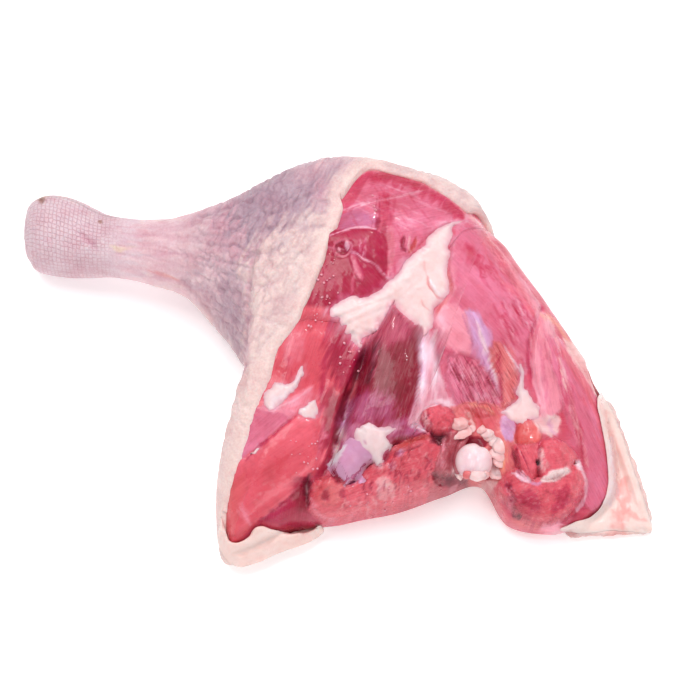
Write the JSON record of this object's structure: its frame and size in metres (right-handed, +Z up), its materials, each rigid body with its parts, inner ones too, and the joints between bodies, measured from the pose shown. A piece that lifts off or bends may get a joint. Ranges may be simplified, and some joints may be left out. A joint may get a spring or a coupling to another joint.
{
  "type": "raw duck leg",
  "caption": "Raw duck leg with thigh: skin-on shank and calf, skin cut open over the dark red meat, with fat, hip ball of the bone and a flap of skin.",
  "frame": {"origin": "middle of the bounding box's footprint, on the surface it rests on", "axes": "+X from the hock to the cut thigh end, the longest extent; +Y to the back edge; +Z up, out of the cut meat face, the shortest extent"},
  "size_m": [0.1914, 0.122, 0.0491],
  "materials": {
    "skin": "moist pale pink skin, satin",
    "drumstick_meat": "wet dark pink muscle",
    "thigh_meat": "wet dark red muscle",
    "bone": "wet pinkish white gristle",
    "fat": "moist cream fat"
  },
  "bodies": {
    "root": {"skin": "skin", "drumstick_meat": "drumstick_meat", "thigh_meat": "thigh_meat", "thigh_bone": "bone", "knee_fat": "fat"}
  },
  "joints": []
}
